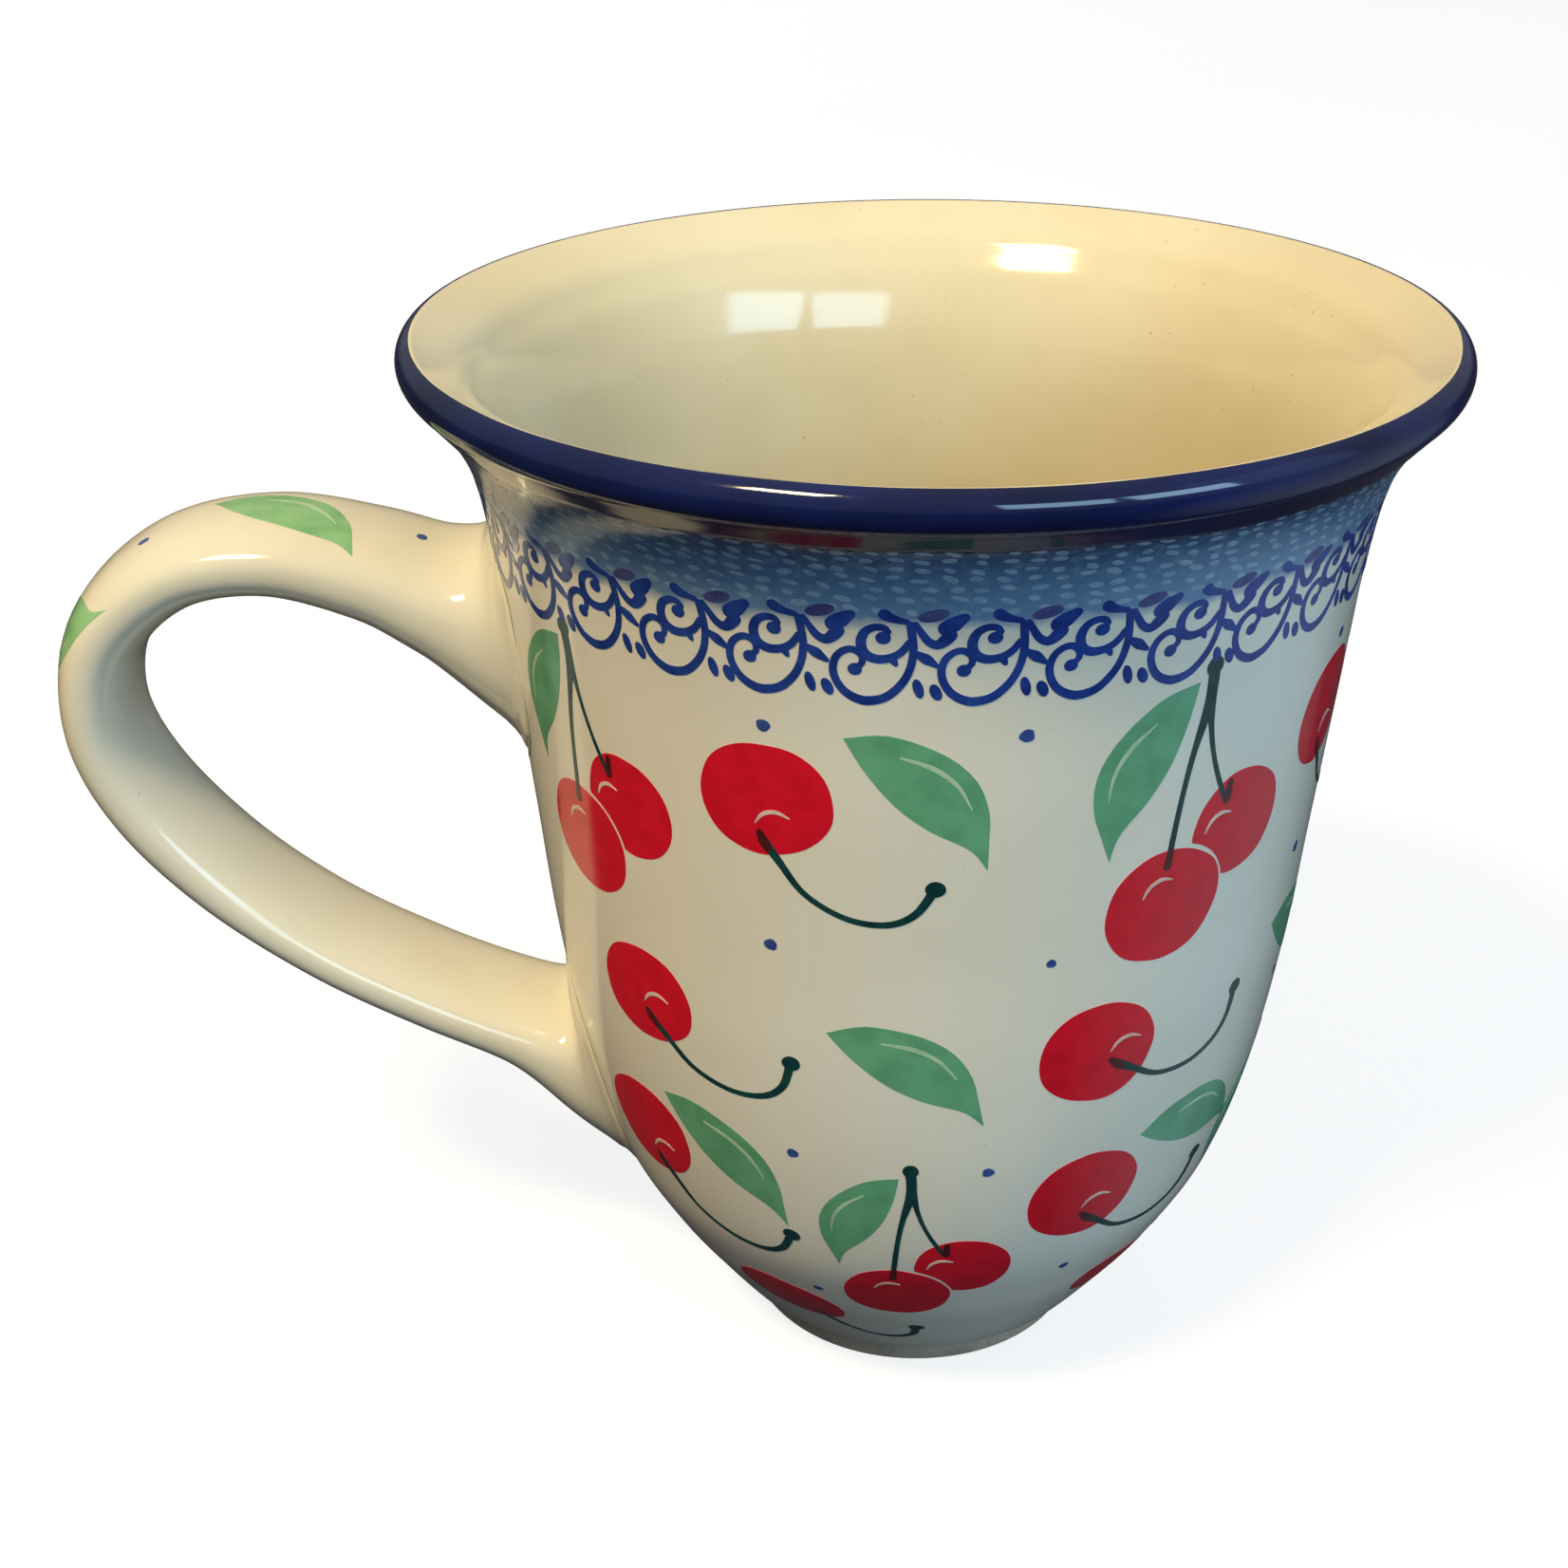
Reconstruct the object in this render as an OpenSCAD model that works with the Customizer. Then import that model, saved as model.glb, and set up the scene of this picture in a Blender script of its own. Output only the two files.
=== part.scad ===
// Flared stoneware mug with a rolled lip, a strap handle and a short foot.
// The Z axis is the mug's own axis, the foot stands on Z = 0 and the handle points along -X.

/* [Mug] */
// Height from the table to the top of the lip
mug_h = 115; // [100:1:130]
// Outside diameter of the rolled lip
rim_d = 104; // [92:1:116]
// Radius of the rolled lip's round section
lip_r = 2.2; // [1.8:0.1:2.6]
// Thickness of each coat of glaze
glaze_t = 0.4; // [0.2:0.05:0.6]

/* [Foot] */
// Outside diameter of the foot
foot_d = 39; // [36:1:42]
// Width of the bare ring that the mug stands on
foot_ring_w = 4; // [3:0.25:5]
// Height of the bare ring
foot_ring_h = 2.2; // [1.6:0.1:2.8]

/* [Handle] */
// Width of the strap at its narrowest, at the outer bend
strap_w = 15.5; // [13:0.5:18]
// Thickness of the strap at its thinnest, at the outer bend
strap_t = 6.4; // [5:0.2:7.6]
// How much wider a luted root is than the strap, at the wall
root_extra_w = 5; // [3:0.5:8]
// How much thicker the upper luted root is than the strap, at the wall
upper_root_extra_t = 14; // [8:0.5:16]
// How much thicker the lower luted root is than the strap, at the wall
lower_root_extra_t = 18; // [10:0.5:20]

/* [Hidden] */

$fn = 96;
rim_r = rim_d / 2;
foot_r = foot_d / 2;

stoneware = [0.80, 0.74, 0.64];
bare_clay = [0.72, 0.62, 0.50];
cream_glaze = [0.90, 0.86, 0.74];
inside_glaze = [0.88, 0.80, 0.62];
cobalt_glaze = [0.08, 0.10, 0.36];

// Knots of the outside wall: share of the lip's radius, share of the height.
// The foot's side curves out softly into a conical bottom, a steep wall and the flare.
wall_knots = [
    [0.404, 0.030], [0.438, 0.048], [0.504, 0.090], [0.583, 0.145], [0.665, 0.220],
    [0.726, 0.325], [0.768, 0.450], [0.793, 0.570], [0.820, 0.700], [0.841, 0.800],
    [0.869, 0.880], [0.912, 0.928]
];
// Knots of the inside wall, from the middle of the floor up to the flare.
inside_knots = [
    [0.000, 0.066], [0.180, 0.068], [0.340, 0.096], [0.460, 0.155], [0.560, 0.235],
    [0.628, 0.335], [0.673, 0.455], [0.700, 0.575], [0.728, 0.705], [0.755, 0.800],
    [0.772, 0.855], [0.791, 0.896], [0.824, 0.935], [0.853, 0.957], [0.889, 0.978]
];
knot_steps = 5;

// Directions round the lip's section, counted from straight outward: where the flare meets it,
// where its round side turns over a tighter crest, where the blue band ends, where the inside
// wall leaves it, and the steps between them.
lip_start = -52;
lip_bend = 60;
band_end = 84;
lip_end = 124;
lip_step = 8;
crest_r = 0.7;
lip_centre = [rim_r - lip_r, mug_h - crest_r - (lip_r - crest_r) * sin(lip_bend)];
crest_centre = [
    lip_centre[0] + (lip_r - crest_r) * cos(lip_bend),
    mug_h - crest_r
];

// Knots of the strap's middle line, from the upper root: share of the lip's radius, share of
// the height. The second knot and the last but one lie at the wall, the ends lie inside it.
strap_knots = [
    [0.692, 0.727], [0.827, 0.732], [0.962, 0.755], [1.096, 0.781], [1.288, 0.800],
    [1.481, 0.784], [1.627, 0.725], [1.665, 0.639], [1.600, 0.557], [1.452, 0.474],
    [1.260, 0.403], [1.058, 0.350], [0.875, 0.311], [0.692, 0.273], [0.577, 0.296]
];
strap_steps = 4;
strap_sides = 28;
// How much wider and thicker than at the outer bend the plain strap is at its two ends.
upper_taper = [5.5, 4];
lower_taper = [2.5, 0.6];
// The swelling of the upper and the lower luted root shrinks to a third over these lengths.
root_fade = [4.6, 3.6];
// The ring that lies at the wall, and the ring where a luted root ends, from either end.
wall_ring = strap_steps;
root_rings = 3 * strap_steps;

// A point of a Catmull-Rom curve between knots i and i + 1.
function curve_point(p, i, t) =
    let (
        a = p[max(i - 1, 0)],
        b = p[i],
        c = p[i + 1],
        d = p[min(i + 2, len(p) - 1)]
    )
    0.5 * (2 * b + (c - a) * t + (2 * a - 5 * b + 4 * c - d) * t * t
        + (3 * b - a - 3 * c + d) * t * t * t);

function curve(p, steps) = [
    for (i = [0 : len(p) - 2]) for (s = [0 : steps - 1]) curve_point(p, i, s / steps),
    p[len(p) - 1]
];

function unit(v) = v / norm(v);

// The direction along a line of points at point i.
function along(p, i) = unit(p[min(i + 1, len(p) - 1)] - p[max(i - 1, 0)]);

// A line of points moved sideways, to the right of its own direction, but not past the axis.
function moved(p, d) = [
    for (i = [0 : len(p) - 1])
        let (u = along(p, i), q = p[i] + d * [u[1], -u[0]])
        [max(q[0], 0), q[1]]
];

function reversed(p) = [for (i = [len(p) - 1 : -1 : 0]) p[i]];

// The lip's section between two directions, moved inward by an inset.
function lip_arc(inset, a0, a1) = [
    for (a = [a0 : lip_step : a1])
        let (
            centre = a > lip_bend ? crest_centre : lip_centre,
            r = a > lip_bend ? crest_r : lip_r
        )
        centre + (r - inset) * [cos(a), sin(a)]
];

wall_line = curve([for (k = wall_knots) [k[0] * rim_r, k[1] * mug_h]], knot_steps);
inside_line = curve([for (k = inside_knots) [k[0] * rim_r, k[1] * mug_h]], knot_steps);

// Outlines of the clay under the coats of glaze.
clay_wall = moved(wall_line, -glaze_t);
clay_inside = moved(inside_line, glaze_t);

// The whole outside of the glazed mug, filled to the axis.
outside_outline = concat(
    [[0, 0], [foot_r, 0]], wall_line, lip_arc(0, lip_start, band_end), [[0, mug_h]]
);

module cup_body() {
    color(stoneware)
        rotate_extrude()
            polygon(concat(
                [[0, foot_ring_h], [foot_r - glaze_t, foot_ring_h]],
                clay_wall,
                lip_arc(glaze_t, lip_start, lip_end),
                reversed(clay_inside)
            ));
}

module foot_ring() {
    edge = foot_ring_w / 8;
    inner_r = foot_r - glaze_t - foot_ring_w;
    outer_r = foot_r - glaze_t;
    color(bare_clay)
        rotate_extrude()
            polygon([
                [inner_r, foot_ring_h],
                [inner_r, edge],
                [inner_r + edge, 0],
                [outer_r - edge, 0],
                [outer_r, edge],
                [outer_r, foot_ring_h]
            ]);
}

module outer_glaze() {
    color(cream_glaze)
        rotate_extrude()
            polygon(concat(
                [[foot_r - glaze_t, foot_ring_h], [foot_r, foot_ring_h]],
                wall_line,
                [lip_centre + lip_r * [cos(lip_start), sin(lip_start)]],
                [lip_centre + (lip_r - glaze_t) * [cos(lip_start), sin(lip_start)]],
                reversed(clay_wall)
            ));
}

module inner_glaze() {
    color(inside_glaze)
        rotate_extrude()
            polygon(concat(
                inside_line,
                reversed(lip_arc(0, band_end, lip_end)),
                lip_arc(glaze_t, band_end, lip_end),
                reversed(clay_inside)
            ));
}

module rim_band() {
    color(cobalt_glaze)
        rotate_extrude()
            polygon(concat(
                lip_arc(0, lip_start, band_end),
                reversed(lip_arc(glaze_t, lip_start, band_end))
            ));
}

// The strap's middle line as points, with the size [width, thickness] at each one.
strap_points = curve([for (k = strap_knots) [k[0] * rim_r, k[1] * mug_h]], strap_steps);
strap_last = len(strap_points) - 1;

function strap_size(i) =
    let (s = i / strap_last)
    [strap_w, strap_t] + upper_taper * pow(1 - s, 2) + lower_taper * pow(s, 2);

// The wall's outward direction at a height: it leans out where the mug widens upwards.
wall_lean = [
    for (i = [0 : len(wall_line) - 1])
        let (u = along(wall_line, i))
        [wall_line[i][1], atan2(u[0], u[1])]
];
function wall_out(z) = let (lean = lookup(z, wall_lean)) [cos(lean), -sin(lean)];

function at_upper_end(i) = i < strap_last / 2;

// Where the strap's middle line meets the wall, at the end nearer to point i.
function at_wall(i) = strap_points[at_upper_end(i) ? wall_ring : strap_last - wall_ring];

// How much of the root's swelling is left at point i: all of it at the wall and inside it.
function root_share(i) =
    min(i, strap_last - i) < wall_ring ? 1
    : exp(-norm(strap_points[i] - at_wall(i)) / root_fade[at_upper_end(i) ? 0 : 1]);

// A ring lies square to the strap, and turns flat to the wall at the roots.
function ring_direction(i) =
    let (
        square_to_wall = (at_upper_end(i) ? 1 : -1) * wall_out(at_wall(i)[1]),
        share = root_share(i)
    )
    unit((1 - share) * along(strap_points, i) + share * square_to_wall);

// One oval ring of the strap. The handle's own plane is Y = 0 and it points along -X.
function ring(i) =
    let (
        extra_t = at_upper_end(i) ? upper_root_extra_t : lower_root_extra_t,
        size = strap_size(i) + root_share(i) * [root_extra_w, extra_t],
        u = ring_direction(i)
    )
    [
        for (j = [0 : strap_sides - 1])
            let (
                a = 360 * j / strap_sides,
                p = strap_points[i] + size[1] / 2 * cos(a) * [u[1], -u[0]]
            )
            [-p[0], size[0] / 2 * sin(a), p[1]]
    ];

// A closed skin over rings of equal count, with flat ends.
module skin(rings) {
    n = len(rings[0]);
    last = len(rings) - 1;
    polyhedron(
        points = [for (r = rings) each r],
        faces = concat(
            [[for (j = [0 : n - 1]) j]],
            [[for (j = [n - 1 : -1 : 0]) last * n + j]],
            [
                for (i = [0 : last - 1]) for (j = [0 : n - 1])
                    [i * n + j, (i + 1) * n + j, (i + 1) * n + (j + 1) % n, i * n + (j + 1) % n]
            ]
        ),
        convexity = 6
    );
}

module glazed_outside() {
    rotate_extrude() polygon(outside_outline);
}

// The strap between the two luted roots.
module handle() {
    color(cream_glaze)
        skin([for (i = [root_rings : strap_last - root_rings]) ring(i)]);
}

// One end of the strap with the slip and clay that lute it to the wall.
module luted_root(first, last) {
    color(cream_glaze)
        difference() {
            skin([for (i = [first : last]) ring(i)]);
            glazed_outside();
        }
}

module upper_handle_joint() {
    luted_root(0, root_rings);
}

module lower_handle_joint() {
    luted_root(strap_last - root_rings, strap_last);
}

cup_body();
foot_ring();
handle();
upper_handle_joint();
lower_handle_joint();
outer_glaze();
inner_glaze();
rim_band();
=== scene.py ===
"""Looks of the flared stoneware mug: clay, coats of glaze, painted cherries, and a small studio.

Shapes are worked out in millimetres in the CAD frame and made in metres. The Z axis is the mug's own
axis, the foot stands on Z = 0 and the handle points along -X. An azimuth is counted round the Z axis
in degrees from +X, so the handle is at 180 and the camera looks at the side round 270.
"""
import math
import random

import bpy
import numpy as np
from mathutils import Matrix, Vector


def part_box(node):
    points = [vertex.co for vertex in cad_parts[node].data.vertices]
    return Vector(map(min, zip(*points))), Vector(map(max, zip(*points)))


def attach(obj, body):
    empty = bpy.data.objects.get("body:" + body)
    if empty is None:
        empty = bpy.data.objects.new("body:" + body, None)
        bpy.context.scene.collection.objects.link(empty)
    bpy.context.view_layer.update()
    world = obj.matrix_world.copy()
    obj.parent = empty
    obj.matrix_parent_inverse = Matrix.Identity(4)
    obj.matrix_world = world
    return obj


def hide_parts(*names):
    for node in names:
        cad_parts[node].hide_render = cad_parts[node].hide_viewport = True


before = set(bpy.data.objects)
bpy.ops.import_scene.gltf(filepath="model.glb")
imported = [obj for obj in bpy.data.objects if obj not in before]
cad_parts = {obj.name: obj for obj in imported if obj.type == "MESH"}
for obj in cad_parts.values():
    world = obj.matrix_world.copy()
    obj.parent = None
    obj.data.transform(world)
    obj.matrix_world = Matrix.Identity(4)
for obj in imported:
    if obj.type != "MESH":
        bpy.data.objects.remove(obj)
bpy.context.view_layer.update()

MM = 0.001

# ------------------------------------------------------------
# Sizes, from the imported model
# ------------------------------------------------------------
RIM_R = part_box("rim_band")[1].x / MM
MUG_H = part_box("rim_band")[1].z / MM
RING_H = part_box("foot_ring")[1].z / MM
GLAZE_T = 0.4
FOOT_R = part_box("foot_ring")[1].x / MM + GLAZE_T
FOOT_RING_W = 4.0
LIP_R = 2.2

# The same knots as in the CAD source: share of the lip's radius, share of the height.
WALL_KNOTS = [
    (0.404, 0.030), (0.438, 0.048), (0.504, 0.090), (0.583, 0.145), (0.665, 0.220),
    (0.726, 0.325), (0.768, 0.450), (0.793, 0.570), (0.820, 0.700), (0.841, 0.800),
    (0.869, 0.880), (0.912, 0.928),
]
INSIDE_KNOTS = [
    (0.000, 0.066), (0.180, 0.068), (0.340, 0.096), (0.460, 0.155), (0.560, 0.235),
    (0.628, 0.335), (0.673, 0.455), (0.700, 0.575), (0.728, 0.705), (0.755, 0.800),
    (0.772, 0.855), (0.791, 0.896), (0.824, 0.935), (0.853, 0.957), (0.889, 0.978),
]
STRAP_KNOTS = [
    (0.692, 0.727), (0.827, 0.732), (0.962, 0.755), (1.096, 0.781), (1.288, 0.800),
    (1.481, 0.784), (1.627, 0.725), (1.665, 0.639), (1.600, 0.557), (1.452, 0.474),
    (1.260, 0.403), (1.058, 0.350), (0.875, 0.311), (0.692, 0.273), (0.577, 0.296),
]
LIP_START, LIP_BEND, BAND_END, LIP_END = -52, 60, 84, 124
CREST_R = 0.7
CREST_OUT = (LIP_R - CREST_R) * np.array([math.cos(math.radians(LIP_BEND)),
                                          math.sin(math.radians(LIP_BEND))])
LIP_CENTRE = np.array([RIM_R - LIP_R, MUG_H - CREST_R - CREST_OUT[1]])


def curve(knots, steps):
    """A Catmull-Rom curve through knots, with that many steps from each knot to the next."""
    p = np.array(knots, float)
    out = []
    for i in range(len(p) - 1):
        a, b, c, d = p[max(i - 1, 0)], p[i], p[i + 1], p[min(i + 2, len(p) - 1)]
        for t in np.arange(steps) / steps:
            out.append(0.5 * (2 * b + (c - a) * t + (2 * a - 5 * b + 4 * c - d) * t * t
                              + (3 * b - a - 3 * c + d) * t ** 3))
    out.append(p[-1])
    return np.array(out)


def lengths(line):
    """The distance along a line of points from its first point to each of them."""
    return np.concatenate([[0], np.cumsum(np.linalg.norm(np.diff(line, axis=0), axis=1))])


def scaled(knots):
    """Knots in millimetres from shares of the lip's radius and of the height."""
    return [(r * RIM_R, h * MUG_H) for r, h in knots]


def lip_arc(inset, first, last, step=3):
    """Points of the lip's section between two directions, counted from straight outward. Its
    round side turns over a tighter crest at the bend."""
    count = max(2, round(abs(last - first) / step) + 1)
    direction = np.linspace(first, last, count)
    crest = (direction > LIP_BEND)[:, None]
    a = np.radians(direction)
    return (LIP_CENTRE + CREST_OUT * crest
            + (np.where(crest, CREST_R, LIP_R) - inset) * np.stack([np.cos(a), np.sin(a)], axis=1))


def moved(line, distance):
    """A line of (radius, height) points moved sideways, to the right of its own direction."""
    u = np.gradient(line, axis=0)
    u /= np.linalg.norm(u, axis=1)[:, None]
    out = line + distance * np.stack([u[:, 1], -u[:, 0]], axis=1)
    out[:, 0] = np.maximum(out[:, 0], 0)
    return out


# ------------------------------------------------------------
# The wall as a surface that paint can be laid on
# ------------------------------------------------------------
LATHE_STEPS = 12
WALL = curve([(FOOT_R, RING_H)] + scaled(WALL_KNOTS) + [tuple(lip_arc(0, LIP_START, 0)[0])],
             LATHE_STEPS)
WALL_CLIMB = lengths(WALL)
WALL_SLOPE = np.gradient(WALL, axis=0)
WALL_LEAN = np.arctan2(WALL_SLOPE[:, 0], WALL_SLOPE[:, 1])


def wall_radius(height):
    return np.interp(height, WALL[:, 1], WALL[:, 0])


def wall_lean(height):
    """How far the wall leans outward from upright, in radians."""
    return np.interp(height, WALL[:, 1], WALL_LEAN)


def uneven(azimuth, height):
    """How far the jiggered clay strays from a true circle, in millimetres."""
    a = np.radians(azimuth)
    return (0.10 * np.sin(2 * a + 0.6) + 0.06 * np.sin(3 * a + height / 21)
            + 0.03 * np.sin(5 * a - height / 9))


def on_wall(azimuth, height, lift):
    """Points a little above (or, below zero, inside) the outside glaze."""
    lean = wall_lean(height)
    reach = wall_radius(height) + uneven(azimuth, height) + lift * np.cos(lean)
    a = np.radians(azimuth)
    return np.stack([reach * np.cos(a), reach * np.sin(a), height - lift * np.sin(lean)], axis=-1)


# ------------------------------------------------------------
# Meshes
# ------------------------------------------------------------
SHARP = math.radians(38)
LATHE_SIDES = 288


def add_mesh(name, points, faces, material, normals=None):
    """A smooth mesh object from points in millimetres, with its real corners kept sharp."""
    mesh = bpy.data.meshes.new(name)
    mesh.from_pydata((np.asarray(points) * MM).tolist(), [], faces)
    mesh.validate()
    mesh.shade_smooth()
    if normals is None:
        mesh.set_sharp_from_angle(angle=SHARP)
    else:
        mesh.normals_split_custom_set_from_vertices(normals.tolist())
    mesh.materials.append(material)
    obj = bpy.data.objects.new(name, mesh)
    bpy.context.scene.collection.objects.link(obj)
    return obj


def finish_piece(obj, slot=None, replaces=()):
    if replaces:
        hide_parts(*replaces)
    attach(obj, "root")
    return obj


def revolve(outline):
    """Points and faces of a solid of revolution, slightly uneven all round. An outline that starts
    and ends on the axis is closed there, and any other is closed on itself. It runs upward on
    the outside."""
    outline = np.asarray(outline, float)
    azimuth = np.arange(LATHE_SIDES) * 360 / LATHE_SIDES
    on_axis = outline[0, 0] < 1e-6 and outline[-1, 0] < 1e-6
    rows = outline[1:-1] if on_axis else outline
    reach = rows[:, :1] + uneven(azimuth[None, :], rows[:, 1:])
    a = np.radians(azimuth)[None, :]
    height = np.broadcast_to(rows[:, 1:], reach.shape)
    points = np.stack([reach * np.cos(a), reach * np.sin(a), height], axis=-1).reshape(-1, 3)
    n, rings = LATHE_SIDES, len(rows)
    faces = []
    for k in range(rings - 1 if on_axis else rings):
        here, above = k * n, (k + 1) % rings * n
        for j in range(n):
            nxt = (j + 1) % n
            faces.append((here + j, here + nxt, above + nxt, above + j))
    if on_axis:
        first, last = len(points), len(points) + 1
        points = np.vstack([points, [0, 0, outline[0, 1]], [0, 0, outline[-1, 1]]])
        for j in range(n):
            nxt = (j + 1) % n
            faces.append((first, nxt, j))
            faces.append((last, (rings - 1) * n + j, (rings - 1) * n + nxt))
    return points, faces


# ------------------------------------------------------------
# Materials
# ------------------------------------------------------------
class Nodes:
    """Short ways to add nodes to a tree. Every place comes from one kind of coordinates."""

    def __init__(self, tree, coordinates):
        self.tree = tree
        self.place = tree.nodes.new("ShaderNodeTexCoord").outputs[coordinates]

    def link(self, source, target):
        self.tree.links.new(source, target)

    def noise(self, scale, detail=3.0, stretch=(1, 1, 1)):
        """Noise with that many patches in a metre."""
        mapping = self.tree.nodes.new("ShaderNodeMapping")
        mapping.inputs["Scale"].default_value = stretch
        self.link(self.place, mapping.inputs["Vector"])
        node = self.tree.nodes.new("ShaderNodeTexNoise")
        node.inputs["Scale"].default_value = scale
        node.inputs["Detail"].default_value = detail
        self.link(mapping.outputs["Vector"], node.inputs["Vector"])
        return node.outputs["Fac"]

    def ramp(self, value, stops):
        """A colour ramp over a value from (position, colour) stops."""
        node = self.tree.nodes.new("ShaderNodeValToRGB")
        while len(node.color_ramp.elements) < len(stops):
            node.color_ramp.elements.new(0.5)
        for element, (position, colour) in zip(node.color_ramp.elements, stops):
            element.position = position
            element.color = (*colour, 1)
        self.link(value, node.inputs["Fac"])
        return node.outputs["Color"]

    def spread(self, value, low, high, to_low=0.0, to_high=1.0):
        """A value stretched from one range to another and held inside it."""
        node = self.tree.nodes.new("ShaderNodeMapRange")
        for socket, number in zip(("From Min", "From Max", "To Min", "To Max"),
                                  (low, high, to_low, to_high)):
            node.inputs[socket].default_value = number
        self.link(value, node.inputs["Value"])
        return node.outputs["Result"]

    def mix(self, share, a, b, blend="MIX"):
        """Colour a turning into colour b. Each may be a colour or a socket."""
        node = self.tree.nodes.new("ShaderNodeMix")
        node.data_type = "RGBA"
        node.blend_type = blend
        self.link(share, node.inputs["Factor"])
        colour_sockets = [s for s in node.inputs if s.type == "RGBA"]
        for socket, colour in zip(colour_sockets, (a, b)):
            if isinstance(colour, tuple):
                socket.default_value = (*colour, 1)
            else:
                self.link(colour, socket)
        return next(s for s in node.outputs if s.type == "RGBA")

    def height(self):
        """The Z part of the place: on the mug, metres above the table."""
        node = self.tree.nodes.new("ShaderNodeSeparateXYZ")
        self.link(self.place, node.inputs["Vector"])
        return node.outputs["Z"]

    def add(self, a, b, scale):
        """Value a plus scale times value b."""
        node = self.tree.nodes.new("ShaderNodeMath")
        node.operation = "MULTIPLY_ADD"
        self.link(b, node.inputs[0])
        node.inputs[1].default_value = scale
        self.link(a, node.inputs[2])
        return node.outputs["Value"]


class Shader(Nodes):
    """A node material with one Principled shader."""

    def __init__(self, name, roughness, specular=0.5):
        self.material = bpy.data.materials.new(name)
        self.material.use_nodes = True
        super().__init__(self.material.node_tree, "Object")
        self.principled = self.tree.nodes["Principled BSDF"]
        self.principled.inputs["Roughness"].default_value = roughness
        self.principled.inputs["Specular IOR Level"].default_value = specular

    def colour(self, socket):
        self.link(socket, self.principled.inputs["Base Color"])

    def rough(self, value, low, high):
        """Roughness that drifts between two values with a noise."""
        self.link(self.spread(value, 0.3, 0.7, low, high), self.principled.inputs["Roughness"])

    def bump(self, value, depth_mm):
        node = self.tree.nodes.new("ShaderNodeBump")
        node.inputs["Strength"].default_value = 1.0
        node.inputs["Distance"].default_value = depth_mm * MM
        self.link(value, node.inputs["Height"])
        self.link(node.outputs["Normal"], self.principled.inputs["Normal"])

    def glazed(self, smoothest, dullest, ripple=260, ripple_depth=0.012):
        """The gloss of fired glaze: faint drifts in its shine and ripples too fine to count."""
        self.rough(self.noise(90, 2), smoothest, dullest)
        self.bump(self.noise(ripple, 2), ripple_depth)


IVORY = (0.845, 0.785, 0.655)
IVORY_DEEP = (0.80, 0.73, 0.59)
SPECK = (0.42, 0.33, 0.23)


def clouded(shader, light, deep, speck_from=0.80):
    """Glaze colour that drifts in soft clouds, with a few tiny specks of iron where a fine noise
    rises above a value."""
    clouds = shader.ramp(shader.noise(38, 4), [(0.34, deep), (0.62, light)])
    specks = shader.spread(shader.noise(1500, 1), speck_from, speck_from + 0.06, 0.0, 0.75)
    return shader.mix(specks, clouds, SPECK)


def glaze_material(name, light, deep):
    """Clear glaze over pale clay."""
    shader = Shader(name, 0.10)
    shader.colour(clouded(shader, light, deep))
    shader.glazed(0.07, 0.14)
    return shader.material


def inside_glaze_with_painted_shade(name):
    """The same glaze inside, in colours made darker and yellower than outside as painted shade, and
    multiplied darker and a little warmer towards the floor as more painted shade.
    """
    shader = Shader(name, 0.10)
    # Painted shade: the inside colours are the cream glaze made darker and yellower.
    glaze = clouded(shader, (0.76, 0.665, 0.455), (0.70, 0.595, 0.38), speck_from=0.76)
    # Painted shade: the colour is multiplied darker from just under the lip down to the floor.
    pooling_and_shade = shader.spread(shader.height(), 0.98 * MUG_H * MM, 0.70 * MUG_H * MM)
    shader.colour(shader.mix(pooling_and_shade, glaze, (0.74, 0.73, 0.70), "MULTIPLY"))
    shader.glazed(0.07, 0.14)
    return shader.material


def paint_material(name, light, deep, blots_in_metre=420):
    """Underglaze paint, mottled as a sponge stamp or a brush leaves it."""
    shader = Shader(name, 0.12)
    blots = shader.ramp(shader.noise(blots_in_metre, 4), [(0.36, deep), (0.60, light)])
    shader.colour(blots)
    shader.glazed(0.09, 0.16)
    return shader.material


def clay_material(name, light, deep, roughness):
    """Fired clay with a sandy grain."""
    shader = Shader(name, roughness, specular=0.3)
    grain = shader.noise(1400, 5)
    body = shader.ramp(shader.noise(160, 4), [(0.35, deep), (0.65, light)])
    sand = shader.spread(grain, 0.62, 0.72)
    shader.colour(shader.mix(sand, body, tuple(0.55 * c for c in deep)))
    shader.rough(grain, roughness - 0.1, roughness + 0.1)
    shader.bump(grain, 0.05)
    return shader.material


def band_material(name):
    """Cobalt glaze that thins a little where it runs off the lip."""
    shader = Shader(name, 0.08)
    pooling_and_shade = shader.ramp(shader.noise(70, 4, (1, 1, 2.5)),
                         [(0.3, (0.003, 0.006, 0.036)), (0.68, (0.007, 0.014, 0.090))])
    shader.colour(pooling_and_shade)
    shader.glazed(0.06, 0.12, 210, 0.015)
    return shader.material


# Heights of the sponged blue under the lip.
SPONGE_LOW, SPONGE_TOP = 100.9, 109.4


def sponge_material(name):
    """Blue dabbed on with a sponge: deep under the lip, thin and open at its lower edge."""
    shader = Shader(name, 0.12)
    ivory = clouded(shader, IVORY, IVORY_DEEP)
    pores = shader.noise(900, 3)
    blots = shader.noise(230, 3)
    edge = shader.add(shader.height(), blots, 0.0030)
    share = shader.spread(edge, (SPONGE_LOW + 0.9) * MM, (SPONGE_LOW + 2.1) * MM)
    depth = shader.spread(shader.height(), (SPONGE_LOW + 1) * MM, SPONGE_TOP * MM)
    blue = shader.ramp(depth, [(0.0, (0.15, 0.265, 0.42)), (0.55, (0.095, 0.195, 0.35)),
                               (1.0, (0.035, 0.075, 0.17))])
    pored = shader.mix(shader.spread(pores, 0.48, 0.66, 0.0, 0.42), blue, (0.21, 0.33, 0.46))
    shader.colour(shader.mix(share, ivory, pored))
    shader.glazed(0.09, 0.16)
    return shader.material


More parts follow.
